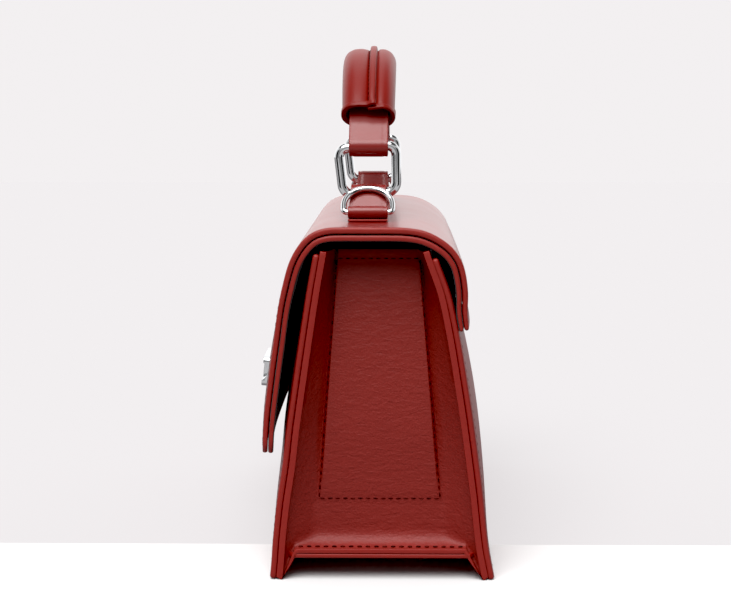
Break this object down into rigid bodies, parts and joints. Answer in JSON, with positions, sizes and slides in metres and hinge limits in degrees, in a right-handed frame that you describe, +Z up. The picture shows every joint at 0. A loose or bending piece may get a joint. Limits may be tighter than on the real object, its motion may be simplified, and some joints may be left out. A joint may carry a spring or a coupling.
{
  "type": "handbag",
  "caption": "Small structured leather satchel with a front flap, a metal clasp, a padded top handle on two rings and a D-ring at each end for a shoulder strap.",
  "frame": {"origin": "on the floor, under the middle of the bag's bounding box", "axes": "+Z up from the floor to the handle's top, +X along the bag's width towards the right as seen from the front, the flap's front and clasp face -Y"},
  "size_m": [0.22, 0.1126, 0.2397],
  "materials": {
    "leather": "smooth, semi-gloss",
    "lining": "matt",
    "chrome": "polished"
  },
  "bodies": {
    "bag": {"front_panel": "leather", "back_panel": "leather", "gusset_right": "leather", "gusset_left": "leather", "bottom_panel": "leather", "flap_outer": "leather", "flap_lining": "lining", "clasp_plate": "chrome", "magnet_snap": "chrome", "ring_right": "chrome", "ring_left": "chrome", "loop_right": "leather", "loop_left": "leather", "base_tab_right": "leather", "base_tab_left": "leather", "handle_strap": "leather", "handle_roll": "leather"},
    "d_ring_right": {"d_ring_right": "chrome"},
    "d_ring_left": {"d_ring_left": "chrome"}
  },
  "joints": [
    {"name": "d_ring_right_swing", "type": "hinge", "parent": "bag", "child": "d_ring_right", "pos_m": [0.0798, -0.00088, 0.1621], "axis": [0, 1, 0], "range_deg": [0, 140]},
    {"name": "d_ring_left_swing", "type": "hinge", "parent": "bag", "child": "d_ring_left", "pos_m": [-0.0798, -0.00088, 0.1621], "axis": [0, -1, 0], "range_deg": [0, 140]}
  ]
}
